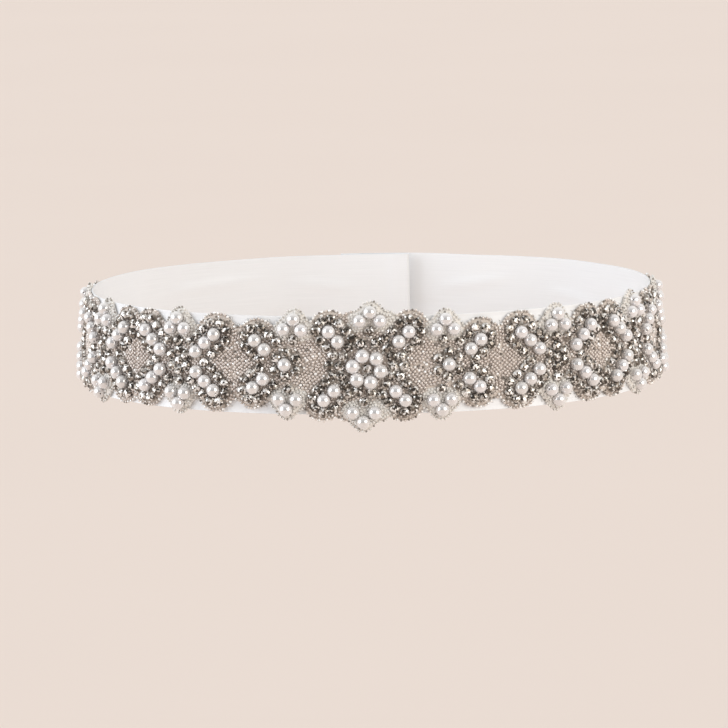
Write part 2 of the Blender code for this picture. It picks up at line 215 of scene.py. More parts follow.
# Seed beads in the ground, in the fans and along the scalloped edge
BEAD_RADIUS = 0.68
BEAD_LENGTH = 1.2
BEAD_HOLE = 0.3
BEAD_ROUND_OFF = 0.28 * BEAD_LENGTH
BEAD_SIDES = 8
BEAD_SPACING = 1.2
BEAD_TO_EDGE = 0.62
CLEAR_OF_STONE = 2.5
CLEAR_OF_PEARL = 2.5
EDGE_SPACING = 1.4
EDGE_ROWS = (0.5, 1.8)
EDGE_EASE = 0.08
HALO_RINGS = (2.95, 4.1)
HALO_PHASE_DEG = 12.0
LEAF_ROWS = 6
LEAF_ROW_GAP = 0.6
LEAF_ROW_STEP = 0.25
LEAF_ROW_POINTS = 200
ROW_PITCH = 1.3
ROW_SPACING = BEAD_SPACING + 0.04
ROW_WAVE = 0.2
ROW_WAVE_TURN = 0.7
FILL_ANGLE_DEG = 42.0
FILL_GRID = 0.5
FILL_EASE = 0.2
FAN_EASE = 0.1
SPACE_CELL = 3.0
# Size of the beads painted dark as shade of holes and gaps
PAINTED_SHADE_SIZE = 0.8
SIZE_RANGE = (0.92, 1.06)
LIFT_RANGE = (-0.08, 0.12)

# Columns: place, glass, stand over the net, size, stray (mm, heading, tilt), tints, share dark (beads painted
# dark as shade of holes and gaps), share light (beads painted light as glints)
BEAD_PLACES = [
    ("edge", "seed", 0.10, 0.86, (0.14, 0.50, 0.45), (0.4, 0.9), 0.25, 0.34),
    ("edge_fan", "ivory", 0.10, 0.80, (0.14, 0.50, 0.45), (0.2, 0.8), 0.15, 0.30),
    ("rows", "seed", 0.24, 1.0, (0.12, 0.40, 0.22), (0.2, 0.8), 0.03, 0.08),
    ("rows_fan", "ivory", 0.02, 1.0, (0.14, 0.50, 0.20), (0.2, 0.8), 0.0, 0.1),
    ("gaps", "seed", 0.20, 0.88, (0.0, 0.0, 0.40), (0.1, 0.6), 0.06, 0.12),
    ("gaps_fan", "ivory", 0.02, 0.88, (0.0, 0.0, 0.30), (0.2, 0.8), 0.0, 0.1),
]

# The photograph's view, fitted: 728 x 728 pixels, the ring's centre at CENTRE_PX
IMAGE_PX = 728
CENTRE_PX = (372.2, 330.0)
PX_PER_MM = 2.387
CAMERA_DISTANCE = 2.0
CAMERA_TURN_DEG = 1.25
CAMERA_RISE_DEG = 8.25
CAMERA_ROLL_DEG = 0.95
SENSOR_MM = 36.0

# The studio. Columns: name, place in metres, size in metres, watts, colour
SOFTBOXES = [
    ("softbox_left", (-1.12, -0.34, 0.34), (1.2, 1.0), 10.0, (0.90, 0.95, 1.0)),
    ("softbox_right", (0.80, -0.76, 0.34), (0.9, 0.85), 6.9, (1.0, 0.965, 0.90)),
]
WORLD_UP_AND_BACK = (0.0, 0.5, 0.4)
WORLD_TONES = [(0.0, (0.32, 0.32, 0.32)), (0.5, (0.50, 0.50, 0.50)), (1.0, (0.90, 0.89, 0.87))]
FLOOR_SUN = 0.95
FLOOR_SUN_ANGLE_DEG = 60.0
FLOOR_RADIUS = 40.0
FLOOR_DROP = 0.3
FLOOR_SIDES = 64


def waist_curve():
    """Arc length, plan position and outward normal once round, from centre back to centre back."""
    t = np.linspace(-math.pi, math.pi, CURVE_STEPS + 1)
    power = 2.0 / WAIST_SQUARENESS
    x = WAIST_HALF_WIDTH * np.sign(np.sin(t)) * np.abs(np.sin(t)) ** power
    y = -WAIST_HALF_DEPTH * np.sign(np.cos(t)) * np.abs(np.cos(t)) ** power
    slope = WAIST_SQUARENESS - 1.0
    nx = np.sign(x) * np.abs(x / WAIST_HALF_WIDTH) ** slope / WAIST_HALF_WIDTH
    ny = np.sign(y) * np.abs(y / WAIST_HALF_DEPTH) ** slope / WAIST_HALF_DEPTH
    length = np.hypot(nx, ny)
    s = np.concatenate([[0.0], np.cumsum(np.hypot(np.diff(x), np.diff(y)))])
    s -= s[-1] / 2
    return s, x, y, nx / length, ny / length


CURVE = waist_curve()
GIRTH = 2 * CURVE[0][-1]
RIBBON_END = (GIRTH + RIBBON_LAP) / 2


def wrap(flat):
    """Wrap flat points, an array of (u, v, w), round the waist: points in metres."""
    s, x, y, nx, ny = CURVE
    u, v, w = np.moveaxis(np.asarray(flat, dtype=float), -1, 0)
    along = (u + GIRTH / 2) % GIRTH - GIRTH / 2
    out = w - v * math.tan(math.radians(FLARE_DEG))
    px = np.interp(along, s, x) + np.interp(along, s, nx) * out
    py = np.interp(along, s, y) + np.interp(along, s, ny) * out
    return np.stack([px, py, v], axis=-1) * MM


def unit(rows):
    """Each row scaled to a length of 1."""
    return rows / np.linalg.norm(rows, axis=1)[:, None]


def between_motifs(u, what):
    """The motifs' lean or rise at each u, read between neighbours."""
    rows = [(-row["u"], row[what][0]) for row in reversed(MOTIFS)]
    rows += [(row["u"], row[what][1]) for row in MOTIFS[1:]]
    return np.interp(u, [row[0] for row in rows], [row[1] for row in rows])


def sewn(flat):
    """Where flat points (u, v, ...) lie once sewn on, with the beadwork's small lean and rise."""
    flat = np.array(flat, dtype=float)
    u, v = flat[..., 0].copy(), flat[..., 1].copy()
    flat[..., 0] = u + between_motifs(u, "lean") * v
    flat[..., 1] = v + between_motifs(u, "rise")
    return flat


def motif_copies():
    """Every motif on the strip as (kind, u, side), side being -1, 0 or +1."""
    copies = []
    for row in MOTIFS:
        sides = (0,) if row["u"] == 0 else (-1, 1)
        copies += [(row["kind"], side * row["u"], side) for side in sides]
    return copies


def quarters(kind, side):
    """Mirror signs (along u, along v) of the leaves that a motif has."""
    along = (side,) if kind == "side" else (-1, 1)
    return [(a, b) for a in along for b in (-1, 1)]


def leaf_axis(kind):
    """Start, end and unit direction of a leaf's row of pearls in the first quarter."""
    start, end = np.array(LEAF_PEARLS[kind][0]), np.array(LEAF_PEARLS[kind][-1])
    return start, end, (end - start) / np.linalg.norm(end - start)


def leaf_path(kind, offset, pitch, count):
    """Points and headings in a U round a leaf, open towards the motif's middle."""
    start, end, axis = leaf_axis(kind)
    across = np.array([-axis[1], axis[0]])
    quarter_turn = math.pi * offset / 2
    rows = []
    for i in range(count):
        d = (i - (count - 1) / 2) * pitch
        if abs(d) < quarter_turn:
            angle = d / offset
            point = end + (axis * math.cos(angle) + across * math.sin(angle)) * offset
            heading = across * math.cos(angle) - axis * math.sin(angle)
        else:
            point = end - axis * (abs(d) - quarter_turn) + across * math.copysign(offset, d)
            heading = axis
        rows.append((point[0], point[1], math.atan2(heading[1], heading[0])))
    return rows


def ring(u, v, radius, count, phase_deg):
    """Points evenly round a circle, each with its heading along the circle."""
    angles = [math.radians(phase_deg + 360.0 * i / count) for i in range(count)]
    return [(u + radius * math.cos(a), v + radius * math.sin(a), a + math.pi / 2) for a in angles]


def mirrored(rows, u, a, b):
    """Rows (du, v, heading) of the first quarter, placed at u in the quarter (a, b)."""
    return [(u + a * du, b * v, math.atan2(b * math.sin(h), a * math.cos(h))) for du, v, h in rows]


def fan_pearls(kind, u):
    """Flat places (u, v) of the pearls in a motif's two fans."""
    fan, spots = FANS[kind], []
    for up in (-1, 1):
        spots.append((u, up * fan["tip"]))
        spots += [(u + a * fan["spread"], up * fan["pair"]) for a in (-1, 1)]
    return spots


def bead_layout():
    """Rows (u, v, heading) of every pearl and every cup stone, before the lean."""
    pearls, stones = [], []
    for kind, u, side in motif_copies():
        pearls += [(at, v, 0.0) for at, v in fan_pearls(kind, u)]
        axis = leaf_axis(kind)[2]
        along = math.atan2(axis[1], axis[0])
        for a, b in quarters(kind, side):
            pearls += mirrored([(du, v, along) for du, v in LEAF_PEARLS[kind]], u, a, b)
            path = leaf_path(kind, LEAF_STONE_OFFSET, STONE_PITCH, LEAF_STONES[kind])
            stones += mirrored(path, u, a, b)
            stones += mirrored([(du, v, 0.0) for du, v in SINGLE_STONES[kind]], u, a, b)
        if kind == "centre":
            pearls += ring(u, FLOWER_V, FLOWER_RING, FLOWER_PEARLS, FLOWER_PHASE_DEG)
            stones.append((u, FLOWER_V, 0.0))
            continue
        middle = u + side * SIDE_PEARL_OUT if kind == "side" else u
        (pearls if kind == "side" else stones).append((middle, 0.0, 0.0))
        stones += ring(middle, 0.0, CLUSTER_RING[kind], CLUSTER_STONES, CLUSTER_PHASE_DEG)
    return np.array(pearls), settled_stones(np.array(pearls), stones)


def settled_stones(pearls, wanted):
    """Drop doubled stones, then push the rest apart until they clear each other and the pearls."""
    kept = []
    for stone in wanted:
        gaps = [math.dist(stone[:2], other[:2]) for other in kept]
        if not gaps or min(gaps) > STONE_DROPPED_UNDER:
            kept.append(stone)
    rows = np.array(kept)
    stones = rows[:, :2]
    for _ in range(SETTLE_ROUNDS):
        move = np.zeros_like(stones)
        for others, clear, share in ((stones, STONE_TO_STONE, 0.5), (pearls[:, :2], STONE_TO_PEARL, 1.0)):
            apart = stones[:, None, :] - others[None, :, :]
            dist = np.linalg.norm(apart, axis=2)
            push = np.where((dist > 1e-6) & (dist < clear), (clear - dist) * share, 0.0)
            move += (apart / np.maximum(dist, 1e-6)[:, :, None] * push[:, :, None]).sum(axis=1)
        stones = stones + 0.5 * move
    return np.column_stack([stones, rows[:, 2]])


def fan_circles(kind, u):
    """Circles (u, v, radius) over a fan: its slopes run straight from the pair up to the tip."""
    fan = FANS[kind]
    circles = [(u + du, v, FAN_SCALLOP) for du, v in fan["wing"]]
    for share in np.linspace(0.0, 1.0, FAN_SLOPE_STEPS):
        du, v = fan["spread"] * (1 - share), fan["pair"] * (1 - share) + fan["tip"] * share
        circles += [(u + a * du, v, FAN_SCALLOP) for a in (-1, 1)]
    return circles


def scallops():
    """Circles (u, v, radius) that the applique's upper edge runs over."""
    circles = []
    for kind, u, side in motif_copies():
        circles += fan_circles(kind, u)
        for a in sorted({q[0] for q in quarters(kind, side)}):
            du, v = LEAF_PEARLS[kind][-1]
            circles.append((u + a * du, v, LEAF_SCALLOP))
    return circles


def upper_edge(u, circles):
    """Height of the applique's upper edge at u."""
    heights = [v + math.sqrt(r * r - (u - cu) ** 2) for cu, v, r in circles if abs(u - cu) < r]
    return max([BAND_HALF_HEIGHT] + heights)


def applique_outline(step):
    """The scalloped outline as evenly spaced points, counter-clockwise, before the lean."""
    circles = scallops()
    last_u = MOTIFS[-1]["u"]
    inner, outer = LEAF_PEARLS["repeat"][0], LEAF_PEARLS["repeat"][-1]
    end_u = last_u + outer[0]
    slope = math.atan2(outer[1] - inner[1], outer[0] - inner[0])
    turn = math.pi / 2 + (math.pi / 2 - slope)
    notch_u = last_u + inner[0] + (LEAF_SCALLOP - inner[1] * math.cos(slope)) / math.sin(slope)
    quarter = [(notch_u, 0.0)]
    for i in range(END_ARC_STEPS + 1):
        angle = math.pi / 2 - turn * (1 - i / END_ARC_STEPS)
        quarter.append((end_u + LEAF_SCALLOP * math.cos(angle), outer[1] + LEAF_SCALLOP * math.sin(angle)))
    quarter += [(u, upper_edge(u, circles)) for u in np.arange(end_u - OUTLINE_STEP, 0.0, -OUTLINE_STEP)]
    middle = [(0.0, upper_edge(0.0, circles))]
    half = quarter + middle + [(-u, v) for u, v in reversed(quarter)]
    loop = np.array(half + [(u, -v) for u, v in reversed(half[1:-1])])
    closed = np.vstack([loop, loop[:1]])
    s = np.concatenate([[0.0], np.cumsum(np.linalg.norm(np.diff(closed, axis=0), axis=1))])
    count = int(round(s[-1] / step))
    at = np.arange(count) * s[-1] / count
    return np.column_stack([np.interp(at, s, closed[:, 0]), np.interp(at, s, closed[:, 1])])


def inside(points, loop):
    """True for each point that lies inside the closed line."""
    hit = np.zeros(len(points), dtype=bool)
    for (ax, ay), (bx, by) in zip(loop, np.roll(loop, -1, axis=0)):
        crosses = (ay > points[:, 1]) != (by > points[:, 1])
        if crosses.any():
            x = ax + (points[:, 1] - ay) / (by - ay) * (bx - ax)
            hit ^= crosses & (points[:, 0] < x)
    return hit


def nearest(points, others):
    """Distance from each point to the nearest of the others."""
    tree = KDTree(len(others))
    for i, (u, v) in enumerate(others):
        tree.insert((u, v, 0.0), i)
    tree.balance()
    return np.array([tree.find((u, v, 0.0))[2] for u, v in points])


def add_piece(name, verts, polys, material, smooth=True, tint=None, uv=None):
    """A mesh piece from arrays: verts in metres, polys a list of (faces, corners) arrays."""
    mesh = bpy.data.meshes.new(name)
    sizes = np.concatenate([np.full(len(p), p.shape[1]) for p in polys])
    corners = np.concatenate([p.ravel() for p in polys]).astype(np.int32)
    mesh.vertices.add(len(verts))
    mesh.vertices.foreach_set("co", np.asarray(verts, dtype=np.float32).ravel())
    mesh.loops.add(len(corners))
    mesh.loops.foreach_set("vertex_index", corners)
    mesh.polygons.add(len(sizes))
    mesh.polygons.foreach_set("loop_start", np.concatenate([[0], np.cumsum(sizes)[:-1]]).astype(np.int32))
    mesh.polygons.foreach_set("use_smooth", np.full(len(sizes), smooth))
    if tint is not None:
        layer = mesh.attributes.new("tint", "FLOAT", "POINT")
        layer.data.foreach_set("value", np.asarray(tint, dtype=np.float32))
    if uv is not None:
        layer = mesh.uv_layers.new(name="flat")
        layer.data.foreach_set("uv", np.asarray(uv, dtype=np.float32)[corners].ravel())
    mesh.update(calc_edges=True)
    mesh.materials.append(material)
    piece = bpy.data.objects.new(name, mesh)
    bpy.context.collection.objects.link(piece)
    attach(piece, "root")
    return piece


def stamped(template, rows, heights, sizes):
    """Copies of a template at rows (u, v, heading, tilt), standing on the waist at their heights."""
    shape, polys = template
    rows = sewn(rows)
    count, size = len(rows), len(shape)
    spot = np.column_stack([rows[:, :2], heights])
    origin = wrap(spot)
    step = 0.05
    across = unit(wrap(spot + (step, 0.0, 0.0)) - wrap(spot - (step, 0.0, 0.0)))
    up = unit(wrap(spot + (0.0, step, 0.0)) - wrap(spot - (0.0, step, 0.0)))
    out = np.cross(across, up)
    cos, sin = np.cos(rows[:, 2])[:, None], np.sin(rows[:, 2])[:, None]
    level, sideways = across * cos + up * sin, up * cos - across * sin
    cos, sin = np.cos(rows[:, 3])[:, None], np.sin(rows[:, 3])[:, None]
    forward, out = level * cos + out * sin, out * cos - level * sin
    local = shape[None, :, :] * np.broadcast_to(sizes, (count,))[:, None, None] * MM
    verts = origin[:, None, :] + local[:, :, :1] * forward[:, None, :]
    verts = verts + local[:, :, 1:2] * sideways[:, None, :] + local[:, :, 2:] * out[:, None, :]
    shifts = (np.arange(count) * size)[:, None, None]
    faces = [(p[None, :, :] + shifts).reshape(-1, p.shape[1]) for p in polys]
    return verts.reshape(-1, 3), faces


def between_rings(rings, sides, start=0):
    """Faces that join rings of corners, each ring to the next."""
    quads = []
    for a in range(start, start + (rings - 1) * sides, sides):
        b = a + sides
        for j in range(sides):
            k = (j + 1) % sides
            quads.append((a + j, a + k, b + k, b + j))
    return quads


def turned(profile, sides):
    """A closed-round shape turned about the first axis: profile rows are (along, radius)."""
    angles = 2 * math.pi * np.arange(sides) / sides
    verts = [(along, r * math.cos(a), r * math.sin(a)) for along, r in profile for a in angles]
    return np.array(verts), [np.array(between_rings(len(profile), sides))]


def pearl_shape():
    """A round pearl with a drilled hole along its first axis."""
    rim = math.asin(HOLE_RIM / PEARL_RADIUS)
    profile = [(-PEARL_RADIUS + HOLE_DEPTH, HOLE_RADIUS)]
    for i in range(PEARL_STEPS + 1):
        angle = rim + (math.pi - 2 * rim) * i / PEARL_STEPS
        profile.append((-PEARL_RADIUS * math.cos(angle), PEARL_RADIUS * math.sin(angle)))
    profile.append((PEARL_RADIUS - HOLE_DEPTH, HOLE_RADIUS))
    return turned(profile, PEARL_SIDES)


def bead_shape():
    """A seed bead: a short glass tube with rounded ends and an open hole."""
    half, straight = BEAD_LENGTH / 2, BEAD_LENGTH / 2 - BEAD_ROUND_OFF
    ends = [(-half, BEAD_HOLE), (-straight, BEAD_RADIUS), (straight, BEAD_RADIUS), (half, BEAD_HOLE)]
    return turned(ends, BEAD_SIDES)


def stone_shape():
    """A round brilliant's crown: table, star and main facets, each with its own corners."""
    rings = []
    for radius, height, count, phase in STONE_RINGS:
        angles = [math.radians(phase + 360.0 * i / count) for i in range(count)]
        rings.append([(radius * math.cos(a), radius * math.sin(a), height) for a in angles])
    facets = [(rings[0][0], rings[1][i], rings[1][(i + 1) % 8]) for i in range(8)]
    for lower, upper, lead in ((rings[2], rings[1], 1), (rings[3], rings[2], 0)):
        for i in range(8):
            j = (i + 1) % 8
            facets.append((upper[i], lower[(i + lead) % 8], upper[j]))
            facets.append((upper[i], lower[(i + lead - 1) % 8], lower[(i + lead) % 8]))
    verts = np.array([corner for facet in facets for corner in facet])
    return verts, [np.arange(len(verts)).reshape(-1, 3)]


def cup_shape():
    """The stone's silver cup: a rounded wall with its lip, and four claws over the girdle."""
    turns = [2 * math.pi * (i + 0.5) / CUP_SIDES for i in range(CUP_SIDES)]
    verts = [(radius * math.cos(a), radius * math.sin(a), height) for radius, height in CUP_WALL for a in turns]
    quads = between_rings(len(CUP_WALL), CUP_SIDES)
    for claw in range(CLAWS):
        a = math.radians(45 + 90 * claw)
        along, side = np.array([math.cos(a), math.sin(a)]), np.array([-math.sin(a), math.cos(a)])
        start = len(verts)
        for radius, height, half in CLAW:
            for offset in (-half, half):
                verts.append((*(along * radius + side * offset), height))
        for p in range(start, len(verts) - 2, 2):
            quads.append((p, p + 1, p + 3, p + 2))
    return np.array(verts), [np.array(quads)]


def stone_painted_reflections(rng, count):
    """Painted reflections, light and dark, in each stone's facets: pairs of the table's and of each crown ring
    share a tone.
    """
    pairs = [np.arange(8) // 2, np.repeat(np.arange(4, 12), 2), np.repeat(np.arange(12, STONE_PAINTED_REFLECTION_GROUPS), 2)]
    tone_of = np.concatenate(pairs)
    own = rng.normal(0.0, 0.09, (count, 1))
    tones = rng.uniform(0.0, 1.0, (count, STONE_PAINTED_REFLECTION_GROUPS)) + own
    flicker = rng.normal(0.0, 0.07, (count, len(tone_of)))
    return np.repeat(np.clip(tones[:, tone_of] + flicker, 0.0, 1.0).ravel(), 3)


def cup_painted_shade_and_highlights(rng, count, corners):
    """Painted shade: dark cup walls, which each have their own tone, under painted highlights on bright claws.
    """
    tints = np.repeat(rng.uniform(0.0, 0.5, (count, 1)), corners, axis=1)
    # The claws' corners take a bright tint as a painted highlight
    tints[:, -CLAW_CORNERS:] = rng.uniform(0.7, 1.0, (count, 1))
    return tints.ravel()


class Space:
    """Flat points sorted into cells, to ask quickly whether a new one is clear."""

    def __init__(self, cell):
        self.cell, self.cells = cell, {}

    def key(self, u, v):
        return int(math.floor(u / self.cell)), int(math.floor(v / self.cell))

    def add(self, u, v, clear):
        self.cells.setdefault(self.key(u, v), []).append((u, v, clear))

    def free(self, u, v, ease=0.0):
        i, j = self.key(u, v)
        for a in (i - 1, i, i + 1):
            for b in (j - 1, j, j + 1):
                for pu, pv, clear in self.cells.get((a, b), ()):
                    if math.hypot(pu - u, pv - v) < clear - ease:
                        return False
        return True


def edge_row(outline, inset):
    """Candidate beads (u, v, heading) along the outline, moved in."""
    along = unit(np.roll(outline, -1, axis=0) - np.roll(outline, 1, axis=0))
    points = outline + np.column_stack([-along[:, 1], along[:, 0]]) * inset
    clear = nearest(points, outline) > inset - EDGE_EASE
    return np.column_stack([points, np.arctan2(along[:, 1], along[:, 0])])[clear]


def fill_rows(outline):
    """Candidate beads for the ground: slanted rows, mirrored about each motif and the middle line."""
    reach = outline.max(axis=0)
    centres = np.array([u for _, u, _ in motif_copies()])
    slant = math.radians(FILL_ANGLE_DEG)
    rows = []
    span = reach[0] + reach[1]
    for sign in (-1, 1):
        axis = np.array([math.cos(slant), sign * math.sin(slant)])
        across = np.array([-axis[1], axis[0]])
        for i in np.arange(-span, span, ROW_PITCH):
            for j in np.arange(-span, span, ROW_SPACING):
                u, v = axis * j + across * (i + ROW_WAVE * math.sin(ROW_WAVE_TURN * j))
                if abs(u) > reach[0] or abs(v) > reach[1]:
                    continue
                du = u - centres[np.argmin(np.abs(centres - u))]
                if du * v * sign > 0:
                    rows.append((u, v, sign * slant))
    return rows


def into_fan(points):
    """How far inside the pale fans each flat point lies, in mm; negative outside them."""
    depth = np.full(len(points), -np.inf)
    for kind, centre, _ in motif_copies():
        for u, v, radius in fan_circles(kind, centre):
            depth = np.maximum(depth, radius - np.hypot(points[:, 0] - u, np.abs(points[:, 1]) - v))
    return depth


def fan_padding(points):
    """How far the fans' padding lifts each flat point over the rest of the net."""
    return (NET_IN_FAN - NET_HIGH) * np.clip(into_fan(points) / FAN_PADDING, 0.0, 1.0)


def halos(radius):
    """Candidate beads in a ring round each of the fans' pearls."""
    count = int(2 * math.pi * radius / BEAD_SPACING)
    spots = [spot for kind, u, _ in motif_copies() for spot in fan_pearls(kind, u)]
    return [row for u, v in spots for row in ring(u, v, radius, count, HALO_PHASE_DEG)]


def leaf_rows(k):
    """Candidate beads along the k-th line round every leaf."""
    offset = LEAF_STONE_OFFSET + STONE_RADIUS + LEAF_ROW_GAP + k * ROW_PITCH
    rows = []
    for kind, u, side in motif_copies():
        path = leaf_path(kind, offset, LEAF_ROW_STEP, LEAF_ROW_POINTS)
        for a, b in quarters(kind, side):
            rows += mirrored(path, u, a, b)
    return rows


def fill_spots(rng, outline):
    """Candidate beads on a fine grid in no order, for the gaps that the rows leave."""
    reach = outline.max(axis=0)
    columns, lines = (np.arange(-r, r, FILL_GRID) for r in reach)
    spots = np.array([(u, v, 0.0) for u in columns for v in lines])
    spots[:, :2] += rng.uniform(-FILL_GRID / 2, FILL_GRID / 2, (len(spots), 2))
    spots[:, 2] = rng.uniform(0.0, math.pi, len(spots))
    rng.shuffle(spots)
    return spots


def within(rows, outline):
    """The rows whose beads lie well inside the outline."""
    rows = np.array(rows)
    rows = rows[inside(rows[:, :2], outline)]
    return rows[nearest(rows[:, :2], outline[::3]) > BEAD_TO_EDGE]


def seed_layout(rng, pearls, stones):
    """Rows (u, v, heading) of the seed beads by their place: edge, ground, fan, and gap fillers."""
    outline = applique_outline(OUTLINE_STEP)
    taken = Space(SPACE_CELL)
    for u, v, _ in stones:
        taken.add(u, v, CLEAR_OF_STONE)
    for u, v, _ in pearls:
        taken.add(u, v, CLEAR_OF_PEARL)
    laid = {row[0]: [] for row in BEAD_PLACES}

    def lay(rows, place, spacing=BEAD_SPACING, ease=0.0):
        for (u, v, heading), pale in zip(rows, into_fan(rows) > -FAN_EASE):
            if taken.free(u, v, ease):
                taken.add(u, v, spacing)
                laid[place + ("_fan" if pale else "")].append((u, v, heading))

    lay(edge_row(outline, EDGE_ROWS[0]), "edge", EDGE_SPACING)
    for radius in HALO_RINGS:
        lay(within(halos(radius), outline), "rows")
    for k in range(LEAF_ROWS):
        lay(within(leaf_rows(k), outline), "rows")
        if k == 0:
            lay(edge_row(outline, EDGE_ROWS[1]), "edge", EDGE_SPACING)
    lay(within(fill_rows(outline), outline), "rows")
    lay(within(fill_spots(rng, outline), outline), "gaps", ease=FILL_EASE)
    return {place: np.array(rows) for place, rows in laid.items()}


def ramp_node(nodes, stops):
    """A colour ramp with rows (position, colour)."""
    ramp = nodes.new("ShaderNodeValToRGB")
    while len(ramp.color_ramp.elements) < len(stops):
        ramp.color_ramp.elements.new(0.5)
    for element, (position, color) in zip(ramp.color_ramp.elements, stops):
        element.position, element.color = position, (*color, 1.0)
    return ramp


def greys(rows):
    """Ramp rows (position, colour) from rows (position, value)."""
    return [(position, (value, value, value)) for position, value in rows]


class Look:
    """A material built up round its Principled shader; underscores in input names stand for spaces."""

    def __init__(self, name, **values):
        self.material = bpy.data.materials.new(name)
        self.material.use_nodes = True
        self.nodes, self.links = self.material.node_tree.nodes, self.material.node_tree.links
        self.shader = self.set_inputs(self.nodes["Principled BSDF"], values)

    def set_inputs(self, node, values):
        """Set plain values on a node's own sockets."""
        for name, value in values.items():
            node.inputs[name.replace("_", " ")].default_value = value
        return node

    def node(self, kind, **values):
        """A new shader node with plain values."""
        return self.set_inputs(self.nodes.new("ShaderNode" + kind), values)

    def link(self, source, output, target, socket):
        """Link a node's output to another node's input."""
        self.links.new(source.outputs[output], target.inputs[socket])

    def ramp(self, source, stops, output="Fac"):
        """A colour ramp that reads a node's output."""
        ramp = ramp_node(self.nodes, stops)
        self.link(source, output, ramp, "Fac")
        return ramp

    def paint(self, source, stops):
        """Base colour by a ramp over a node's output; gives the ramp."""
        ramp = self.ramp(source, stops)
        self.link(ramp, "Color", self.shader, "Base Color")
        return ramp

    def tint(self):
        """The tint attribute: a bead's own tone, the net's mark of the fans, and painted light: the stones'
        painted reflections, the cups' painted shade and highlights, the seeds' painted shade and glints.
        """
        tint = self.node("Attribute")
        tint.attribute_name = "tint"
        return tint

    def bump(self, source, output, strength, distance):
        """Bump from a node's output; gives its node."""
        bump = self.node("Bump", Strength=strength, Distance=distance)
        self.link(source, output, bump, "Height")
        self.link(bump, "Normal", self.shader, "Normal")
        return bump

    def uneven(self, scale, strength, distance):
        """Fine unevenness of the surface; gives its noise."""
        noise = self.node("TexNoise", Scale=scale, Detail=3.0)
        self.link(self.node("TexCoord"), "Object", noise, "Vector")
        self.bump(noise, "Fac", strength, distance)
        return noise


def pearl_material():
    """Glossy white pearl: most of its mirror shows straight on, most of its white body at the rim."""
    look = Look("pearl", Roughness=0.18, Coat_Weight=0.5, Coat_Roughness=0.06)
    look.set_inputs(look.shader, {"Sheen Weight": 0.7, "Sheen Roughness": 0.35})
    look.paint(look.tint(), [
        (0.0, (0.80, 0.78, 0.77)),
        (0.5, (0.83, 0.81, 0.81)),
        (1.0, (0.87, 0.85, 0.86)),
    ])
    facing = look.node("LayerWeight", Blend=0.5)
    gloss = look.ramp(facing, greys([(0.0, 0.74), (0.07, 0.70), (0.26, 0.44), (0.5, 0.30)]), "Facing")
    look.link(gloss, "Color", look.shader, "Metallic")
    look.uneven(900.0, 0.04, 0.0001)
    return look.material


def stone_material():
    """Clear foiled glass: each facet's colour is a painted reflection, light or dark, by its tint, and the light
    ones spread it.
    """
    look = Look("crystal", Metallic=0.85, Coat_Weight=0.8, Coat_Roughness=0.0)
    tint = look.tint()
    # Painted reflections: the tint picks each facet's colour from dark to white, in steps
    tones = look.paint(tint, [
        (0.0, (0.06, 0.048, 0.038)),
        (0.28, (0.13, 0.107, 0.085)),
        (0.50, (0.32, 0.28, 0.24)),
        (0.67, (0.62, 0.585, 0.545)),
        (0.82, (0.96, 0.945, 0.93)),
    ])
    tones.color_ramp.interpolation = "CONSTANT"
    gloss = look.ramp(tint, greys([(0.45, 0.05), (0.55, 0.42)]))
    look.link(gloss, "Color", look.shader, "Roughness")
    look.uneven(2500.0, 0.03, 0.0001)
    return look.material


def silver_material():
    """The cups' plated metal: dark with painted shade in the walls and bright with painted highlights on the
    claws, by the tint.
    """
    look = Look("cup_silver", Roughness=0.3, Metallic=1.0)
    # Painted shade at the ramp's dark end, painted highlights at its bright end
    look.paint(look.tint(), [(0.0, (0.30, 0.27, 0.24)), (1.0, (0.96, 0.94, 0.91))])
    look.uneven(1500.0, 0.15, 0.0002)
    return look.material


def seed_material():
    """Silver-lined seed beads: warm grey glass, with dark ones of painted shade and light ones of painted glints
    among them.
    """
    look = Look("seed_glass", Roughness=0.28, Metallic=0.35, Coat_Weight=0.5, Coat_Roughness=0.1)
    # The ramp's dark end is painted shade for holes and gaps, its white end painted glints; the middle is the
    # glass's own tone
    look.paint(look.tint(), [
        (0.0, (0.22, 0.19, 0.165)),
        (0.1, (0.46, 0.40, 0.36)),
        (0.2, (0.62, 0.55, 0.51)),
        (0.8, (0.72, 0.65, 0.60)),
        (0.9, (0.85, 0.80, 0.76)),
        (1.0, (0.98, 0.96, 0.94)),
    ])
    look.uneven(2000.0, 0.1, 0.0002)
    return look.material


def ivory_material():
    """The fans' pale beads: cloudy ivory glass, with dark ones of painted shade among them."""
    look = Look("fan_glass", Roughness=0.5, Coat_Weight=0.2, Coat_Roughness=0.2)
    # The ramp's dark end is painted shade for the fans' dark specks; the rest is the ivory's own tone
    look.paint(look.tint(), [
        (0.0, (0.30, 0.27, 0.24)),
        (0.1, (0.66, 0.62, 0.57)),
        (0.2, (0.74, 0.71, 0.67)),
        (1.0, (0.82, 0.80, 0.77)),
    ])
    look.uneven(2000.0, 0.08, 0.0002)
    return look.material


def net_material():
    """Fine net under the beads, warm grey, and ivory where the tint marks the fans."""
    look = Look("net", Roughness=0.8, Sheen_Weight=0.3)
    cells = look.node("TexVoronoi", Scale=1400.0)
    cells.feature = "DISTANCE_TO_EDGE"
    look.link(look.node("TexCoord"), "Object", cells, "Vector")
    grey = look.ramp(cells, [(0.0, (0.76, 0.69, 0.63)), (0.12, (0.64, 0.57, 0.51))], "Distance")
    ivory = look.ramp(cells, [(0.0, (0.84, 0.82, 0.78)), (0.12, (0.80, 0.76, 0.72))], "Distance")
    mix = look.node("Mix")
    mix.data_type = "RGBA"
    look.link(look.tint(), "Fac", mix, "Factor")
    look.link(grey, "Color", mix, "A")
    look.link(ivory, "Color", mix, "B")
    look.link(mix, "Result", look.shader, "Base Color")
    look.bump(cells, "Distance", 0.4, 0.0002).invert = True
    return look.material


